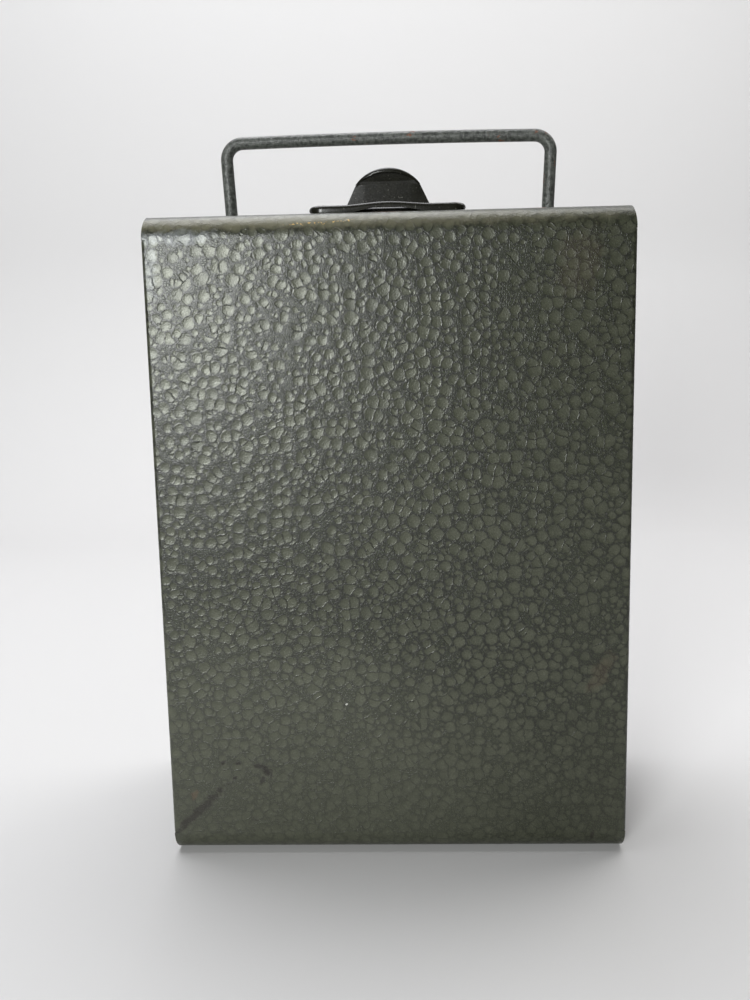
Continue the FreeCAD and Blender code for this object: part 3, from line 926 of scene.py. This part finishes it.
@dataclass
class TrayShell(Piece):
    """One bent tray of the case: a face, its top and bottom walls, and a tight fold down each side."""

    inward: int
    low_wall_end: float
    sheet: float = 0.8 * MM
    bend: float = 7.5 * MM
    fold: float = 1.4 * MM
    fold_reach: float = 9.0 * MM
    fold_relief: float = 0.1 * MM
    bend_flare: float = 0.55 * MM
    bend_steps: int = 14
    fold_steps: int = 5
    edge_wear: float = 0.14 * MM

    def __post_init__(self) -> None:
        """Take the tray's outside from its CAD node."""
        low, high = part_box(self.node)
        self.half_width = high.x
        self.height = high.z
        self.face_y = low.y if self.inward > 0 else high.y
        self.rim_y = high.y if self.inward > 0 else low.y

    def sheet_place(self, point: Vector) -> Vector:
        """Find a point's place on the flat sheet.

        Args:
            point: A point on the tray.

        Returns:
            Its place across and up the sheet, and its depth under the outer skin.
        """
        back = (point.y - self.face_y) * self.inward
        middle = self.height / 2
        upper = point.z > middle
        over = abs(point.z - middle) - (middle - self.bend)
        if over > 0 and back < self.bend:
            turn = math.atan2(over, self.bend - back)
            along = self.bend * turn
            depth = self.bend - math.hypot(over, self.bend - back)
        elif over > 0:
            along = self.bend * math.pi / 2 + back - self.bend
            depth = self.bend - over
        else:
            along = over
            depth = back
        along += middle - self.bend
        across = abs(point.x)
        past = across - (self.half_width - self.fold)
        if past > 0 and over <= 0:
            turn = math.atan2(past, max(self.fold - back, 0.0))
            across = self.half_width - self.fold + self.fold * turn + max(back - self.fold, 0.0)
            depth = min(back, self.half_width - abs(point.x))
        return Vector((math.copysign(across, point.x), middle + (along if upper else -along), depth))

    def build(self) -> Object:
        """Bend the tray out of one sheet."""
        flat_half = self.half_width - self.fold
        middle = (0, self.face_y, self.height / 2)
        bpy.ops.object.select_all(action="DESELECT")
        bpy.ops.mesh.primitive_plane_add(size=1, location=middle, rotation=(math.pi / 2, 0, 0))
        work = Workpiece(self.name, (2 * flat_half, self.height - 2 * self.bend, 1))
        tangent_y = self.face_y + self.inward * self.bend
        lowest = self.bend + self.fold_relief
        highest = self.height - self.bend - self.fold_relief
        for z in (lowest, highest):
            work.cut((0, 0, z), (0, 0, 1))
            work.pick(Pick.EDGES, lambda p: abs(p.z - z) < NEAR)
            bpy.ops.mesh.dissolve_edges(use_verts=False)
        walls = ((self.height - self.bend, -90, self.rim_y), (self.bend, 90, self.low_wall_end))
        for z, turn, rim in walls:
            work.pick(Pick.EDGES, lambda p: abs(p.z - z) < NEAR)
            work.spin((0, tangent_y, z), (self.inward, 0, 0), turn, self.bend_steps)
            work.extrude(0, rim - tangent_y, 0)
        for side in (-1, 1):
            work.pick(Pick.EDGES, lambda p: p.x * side > flat_half - NEAR and not (
                self.bend + NEAR < p.z < self.height - self.bend - NEAR))
            work.extrude(side * (self.fold - self.sheet), 0, 0)
            self.flare(work, side)
            work.pick(Pick.EDGES, lambda p: abs(p.x * side - flat_half) < NEAR
                      and lowest - NEAR < p.z < highest + NEAR and abs(p.y - self.face_y) < NEAR)
            centre = (side * flat_half, self.face_y + self.inward * self.fold, 0)
            work.spin(centre, (0, 0, self.inward * side), 90, self.fold_steps)
            work.extrude(0, self.inward * (self.fold_reach - self.fold), 0)
        piece = work.close()
        add_modifier(piece, "SOLIDIFY", thickness=self.sheet, offset=-1.0, use_even_offset=True)
        soften(piece, self.edge_wear, 2, 50)
        add_modifier(piece, "WEIGHTED_NORMAL", keep_sharp=True)
        self.mark_sheet(piece)
        return piece

    def flare(self, work: Workpiece, side: int) -> None:
        """Draw the bends' cut edges out towards the side folds, as the sheet spreads there.

        Args:
            work: The bent tray.
            side: -1 for the left edge, 1 for the right.
        """
        edge = self.half_width - self.sheet
        for step in range(self.bend_steps):
            turn = math.pi / 2 * step / self.bend_steps
            over = self.height / 2 - self.bend + self.bend * math.sin(turn)
            work.pick(Pick.VERTS, lambda p: p.x * side > edge - NEAR
                      and abs(abs(p.z - self.height / 2) - over) < NEAR)
            bpy.ops.transform.translate(value=(side * self.bend_flare * math.cos(turn) ** 2, 0, 0))

    def mark_sheet(self, piece: Object) -> None:
        """Write each point's place on the flat sheet, which the paint's pattern follows."""
        marks = piece.data.attributes.new(SHEET_PLACE, "FLOAT_VECTOR", "POINT")
        for vertex, mark in zip(piece.data.vertices, marks.data):
            mark.vector = self.sheet_place(vertex.co)


@dataclass
class WireHandle(Piece):
    """Bail bent from one wire: a slightly crowned bar, two legs, and feet turned out into the saddles."""

    name: str = "handle_wire"
    node: str = "handle_bail"
    body: Body = Body.HANDLE
    slot: Slot = Slot.HANDLE
    wire: float = 2.1 * MM
    rise: float = 28.05 * MM
    spread: float = 1.3 * MM
    foot_length: float = 13.0 * MM
    elbow: float = 3.4 * MM
    corner: float = 5.6 * MM
    crown_degrees: float = 1.0
    sides: int = 28
    elbow_steps: int = 14
    corner_steps: int = 16
    crown_steps: int = 20
    end_round: float = 0.4 * MM

    def build(self) -> Object:
        """Bend one half of the wire from its foot to the middle of the bar, and mirror it."""
        low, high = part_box(self.node)
        y = (low.y + high.y) / 2
        pivot_z = low.z + self.wire
        end_x = high.x
        foot_x = end_x - self.foot_length
        lean = math.atan2(self.spread, self.rise)
        crown = math.radians(self.crown_degrees)
        leg = Vector((math.sin(lean), 0, math.cos(lean)))
        elbow_turn = math.pi / 2 + lean
        elbow_run = self.elbow * math.tan(elbow_turn / 2)
        corner_turn = elbow_turn - crown
        corner_run = self.corner * math.tan(corner_turn / 2)
        top = high.z - self.wire - SNAP
        bpy.ops.object.select_all(action="DESELECT")
        bpy.ops.mesh.primitive_circle_add(vertices=self.sides, radius=self.wire, fill_type="NOTHING",
                                          location=(end_x, y, pivot_z), rotation=(0, math.pi / 2, 0))
        work = Workpiece(self.name)
        bpy.ops.mesh.select_all(action="SELECT")
        work.extrude(foot_x + elbow_run - end_x, 0, 0)
        elbow_centre = (foot_x + elbow_run, y, pivot_z + self.elbow)
        work.spin(elbow_centre, (0, 1, 0), math.degrees(elbow_turn), self.elbow_steps)
        leg_start = Vector((foot_x, y, pivot_z)) + leg * elbow_run
        across = Vector((-leg.z, 0, leg.x))
        straight_rise = corner_run * math.sin(crown)
        arc_rise = (foot_x + self.spread - corner_run * math.cos(crown)) * math.tan(crown / 2)
        bar_z = top - straight_rise - arc_rise
        leg_end = leg_start + leg * ((bar_z - pivot_z) / leg.z - elbow_run - corner_run)
        work.extrude(*(leg_end - leg_start))
        corner_centre = leg_end + across * self.corner
        work.spin(corner_centre, (0, -1, 0), math.degrees(corner_turn), self.corner_steps)
        reach = leg_end + leg * corner_run + Vector((-math.cos(crown), 0, math.sin(crown))) * corner_run
        arc = reach.x / math.sin(crown)
        crown_centre = (0, y, reach.z - arc * math.cos(crown))
        work.spin(crown_centre, (0, -1, 0), self.crown_degrees, self.crown_steps)
        piece = work.close()
        add_modifier(piece, "MIRROR", use_clip=True, merge_threshold=0.05 * MM)
        return self.cap(end_x)

    def cap(self, end_x: float) -> Object:
        """Close both cut ends of the wire and round them a little.

        Args:
            end_x: How far its ends lie from the middle.

        Returns:
            The closed wire.
        """
        work = Workpiece(self.name)
        for side in (-1, 1):
            work.pick(Pick.EDGES, lambda p: p.x * side > end_x - NEAR)
            bpy.ops.mesh.edge_face_add()
            work.pick(Pick.FACES, lambda p: p.x * side > end_x - NEAR)
            bpy.ops.mesh.bevel(offset=self.end_round, segments=3, affect="EDGES")
        return work.close(50.0)


@dataclass
class SnapHasp(Piece):
    """Hasp bent from one strip: rolled eye, tongue, nose, and a bell-shaped tab with a curled top."""

    name: str = "hasp_strip"
    node: str = "hasp"
    body: Body = Body.HASP
    slot: Slot = Slot.HASP
    sheet: float = 0.6 * MM
    width: float = 28.2 * MM
    shoulder_width: float = 21.5 * MM
    shoulder: float = 12.05 * MM
    skirt: float = 5.5 * MM
    crest: float = 18.0 * MM
    crease: float = 12.7 * MM
    crease_run: float = 0.5 * MM
    crease_steps: int = 3
    lean: float = 20.0
    curl: tuple[Range, ...] = (
        (1.076, 1.5), (1.038, 3.7), (0.987, 4.2), (0.941, 2.9), (0.92, 0.0), (0.935, -3.3),
    )
    bead_room: float = 0.84
    bead_margin: float = 0.45 * MM
    bead_start: float = 0.25 * MM
    columns: int = 6
    eye: float = 1.25 * MM
    axis: Place = (0, -24.0 * MM, 208.9 * MM)
    top: float = 207.5 * MM
    tab_back: float = -6.0 * MM
    nose: float = 208.8 * MM
    nose_run: float = 2.4 * MM
    slope_run: float = 1.4 * MM
    tuck: float = 0.8 * MM
    round_steps: int = 128
    tuck_steps: int = 5
    eye_degrees: float = 290.0
    eye_steps: int = 18
    column_reach: float = 0.8
    edge_round: float = 0.16 * MM

    def build(self) -> Object:
        """Cut the tab's round top, draw the strip down and forward from it, and roll the eye."""
        y = self.tab_back - self.sheet / 2
        rise = self.crest - self.shoulder
        half = self.shoulder_width / 2
        radius = (half**2 + rise**2) / (2 * rise)
        centre = Vector((0, y, self.top + self.crest - radius))
        bpy.ops.object.select_all(action="DESELECT")
        bpy.ops.mesh.primitive_circle_add(vertices=self.round_steps, radius=radius, fill_type="NGON",
                                          location=centre, rotation=(math.pi / 2, 0, 0))
        work = Workpiece(self.name)
        shoulder = Vector((0, y, self.top + self.shoulder))
        bpy.ops.mesh.select_all(action="SELECT")
        bpy.ops.mesh.bisect(plane_co=shoulder, plane_no=(0, 0, 1), clear_inner=True, threshold=SNAP)
        bpy.ops.mesh.select_all(action="SELECT")
        bpy.ops.transform.resize(value=(1, 1, self.bead_room), center_override=shoulder)
        bpy.ops.mesh.inset(thickness=self.bead_margin)
        work.pick(Pick.EDGES, lambda p: p.z < shoulder.z + NEAR)
        work.extrude(0, 0, self.skirt - self.shoulder)
        bpy.ops.transform.resize(value=(self.width / self.shoulder_width, 1, 1))
        nose_z = self.nose + self.sheet / 2
        work.extrude(0, 0, nose_z + self.tuck - self.top - self.skirt)
        work.spin((0, y - self.tuck, nose_z + self.tuck), (1, 0, 0), -90, self.tuck_steps)
        work.extrude(0, self.tab_back - self.nose_run - y + self.tuck, 0)
        tongue_z = self.axis[2] + self.eye - self.sheet / 2
        work.extrude(0, -self.slope_run, tongue_z - nose_z)
        work.extrude(0, self.axis[1] - (self.tab_back - self.nose_run - self.slope_run), 0)
        work.spin(self.axis, (1, 0, 0), self.eye_degrees, self.eye_steps)
        for column in range(-self.columns, self.columns + 1):
            work.cut((column / self.columns * half * self.column_reach, 0, 0), (1, 0, 0))
        self.curl_top(work, shoulder)
        piece = work.close(60.0)
        add_modifier(piece, "SOLIDIFY", thickness=self.sheet, offset=0.0, use_quality_normals=True)
        soften(piece, self.edge_round, 3, 60)
        add_modifier(piece, "WEIGHTED_NORMAL", keep_sharp=True)
        return piece

    def curl_top(self, work: Workpiece, shoulder: Vector) -> None:
        """Lean the tab's top forward over a soft crease, and roll its edge into a bead.

        Args:
            work: The flat tab.
            shoulder: The middle of the line where the tab's straight sides end.
        """
        foot = shoulder + Vector((0, 0, self.crease - self.shoulder))
        for step in range(self.crease_steps):
            work.cut(foot + Vector((0, 0, step * self.crease_run)), (0, 0, 1))
        turn = self.lean / self.crease_steps
        for step in range(self.crease_steps):
            work.pick(Pick.VERTS, lambda p: p.z > foot.z + NEAR and p.y > self.axis[1] / 2)
            work.turn(foot, turn)
            leant = math.radians(turn * (step + 1))
            foot = foot + Vector((0, -math.sin(leant), math.cos(leant))) * self.crease_run
        work.pick(Pick.EDGES, lambda p: p.z > shoulder.z + self.bead_start, free=True)
        for lift, roll in self.curl:
            bpy.ops.mesh.extrude_region_move()
            bpy.ops.transform.resize(value=(1, 1, lift), center_override=shoulder)
            work.turn(shoulder, roll)


@dataclass
class HaspPlate(Piece):
    """Pressed plate: two cupped ears and a bowed strip between them, whose skirt arches off the lid."""

    name: str = "hasp_plate_pressed"
    node: str = "hasp_plate"
    body: Body = Body.LID
    slot: Slot = Slot.HASP
    sheet: float = 0.6 * MM
    corner: float = 4.4 * MM
    ear: float = 2.7 * MM
    rise: float = 0.85 * MM
    mouth: float = 14.5 * MM
    bow_depth: float = 5.25 * MM
    round_over: float = 1.15 * MM
    arch_half: float = 12.0 * MM
    arch_height: float = 1.9 * MM
    columns: int = 18
    tip_run: float = 4.5 * MM
    tip_lift: float = 1.35 * MM
    tip_steps: int = 8
    corner_steps: int = 10
    round_steps: int = 6
    edge_round: float = 0.1 * MM

    def build(self) -> Object:
        """Press the plate out of one block's skin."""
        low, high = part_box(self.node)
        top = low.z + self.ear
        middle = (0, (low.y + high.y) / 2, low.z + self.ear / 2)
        bpy.ops.object.select_all(action="DESELECT")
        bpy.ops.mesh.primitive_cube_add(size=1, location=middle)
        work = Workpiece(self.name, (high.x - low.x, high.y - low.y, self.ear))
        for x in (low.x, high.x):
            for y in (low.y, high.y):
                work.pick(Pick.EDGES, lambda p: abs(p.x - x) < NEAR and abs(p.y - y) < NEAR)
                bpy.ops.mesh.bevel(offset=self.corner, segments=self.corner_steps, affect="EDGES")
        work.pick(Pick.EDGES, lambda p: p.z > top - NEAR)
        bpy.ops.mesh.bevel(offset=self.round_over, segments=self.round_steps, affect="EDGES")
        work.pick(Pick.FACES, lambda p: p.z < low.z + NEAR)
        bpy.ops.mesh.delete(type="FACE")
        places = [(2 * column / self.columns - 1) * self.mouth for column in range(self.columns + 1)]
        for x in places:
            work.cut((x, 0, 0), (1, 0, 0))
        bow_back = low.y + self.bow_depth
        work.cut((0, bow_back, 0), (0, 1, 0))
        work.pick(Pick.FACES, lambda p: abs(p.x) < self.mouth + NEAR and p.y > bow_back - NEAR)
        bpy.ops.mesh.delete(type="FACE")
        for x in places:
            crown = self.rise * math.cos(math.pi / 2 * x / self.mouth) ** 2
            work.pick(Pick.VERTS, lambda p: abs(p.x - x) < NEAR and p.z > low.z + NEAR)
            bpy.ops.transform.translate(value=(0, 0, crown))
            arch = self.arch_height * max(1 - (x / self.arch_half) ** 2, 0)
            work.pick(Pick.VERTS, lambda p: abs(p.x - x) < NEAR and p.z < low.z + NEAR)
            bpy.ops.transform.translate(value=(0, 0, arch))
        for step in range(self.tip_steps):
            start = high.x - self.tip_run * (1 - step / self.tip_steps)
            work.pick(Pick.VERTS, lambda p: abs(p.x) > start and p.z < low.z + self.tip_lift + NEAR)
            lift = self.tip_lift * (2 * step + 1) / self.tip_steps**2
            bpy.ops.transform.translate(value=(0, 0, lift))
        piece = work.close(40.0)
        add_modifier(piece, "SOLIDIFY", thickness=self.sheet, offset=-1.0, use_even_offset=True)
        soften(piece, self.edge_round, 2, 50)
        mark_edges(piece)
        return piece


def dress(node: str, material: Material) -> None:
    """Give a CAD node its finish.

    Args:
        node: The node's name.
        material: The finish.
    """
    mesh = frame["nodes"][node].data
    mesh.materials.clear()
    mesh.materials.append(material)
    LOG.info("%s: %s", node, material.name)


def make_finishes() -> dict[Slot, Material]:
    """Make the finish of each material slot.

    Returns:
        The materials by slot.
    """
    finishes = {
        Slot.HAMMERED: HammeredPaint("hammered_enamel_ends", Flow.END),
        Slot.HASP: SmoothEnamel(
            "hasp_enamel", from_srgb(29, 29, 22), from_srgb(17, 17, 12),
            roughness=0.24, mottle=2.5 * MM, rust_from=0.70, peel=0.004 * MM, sheen=0.3,
        ),
        Slot.HANDLE: SmoothEnamel(
            "wire_enamel", from_srgb(97, 100, 95), from_srgb(22, 24, 22),
            roughness=0.31, mottle=1.1 * MM, rust_from=0.64, peel=0.16 * MM,
        ),
        Slot.INNER: BrightSteel(
            "tinned_steel", from_srgb(176, 174, 166), from_srgb(136, 134, 127),
            roughness=0.40, streak=(150.0, 900.0, 900.0),
        ),
        Slot.PIN: BrightSteel(
            "drawn_steel", from_srgb(160, 158, 152), from_srgb(116, 114, 108),
            roughness=0.34, streak=(200.0, 3000.0, 3000.0),
        ),
        Slot.RIVET: SetRivet(),
    }
    return {slot: finish.material() for slot, finish in finishes.items()}


def main() -> None:
    """Build the scene."""
    logging.basicConfig(level=logging.INFO)
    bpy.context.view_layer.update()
    lid_paint = HammeredPaint("hammered_enamel_lid", Flow.SHEET, LID_MARKS).material()
    base_paint = HammeredPaint("hammered_enamel_base", Flow.SHEET).material()
    finishes = make_finishes()
    for part in frame["record"]["subparts"]:
        dress(part["node"], finishes[Slot(part["material_slot"])])
    TrayShell("lid_shell", "lid_wrap", Body.LID, Slot.HAMMERED, 1, -18.5 * MM).make(lid_paint)
    TrayShell("base_shell", "base_wrap", Body.BASE, Slot.HAMMERED, -1, -9.5 * MM).make(base_paint)
    for piece in (WireHandle(), SnapHasp(), HaspPlate()):
        piece.make(finishes[piece.slot])
    Studio().build()


if __name__ == "__main__":
    main()
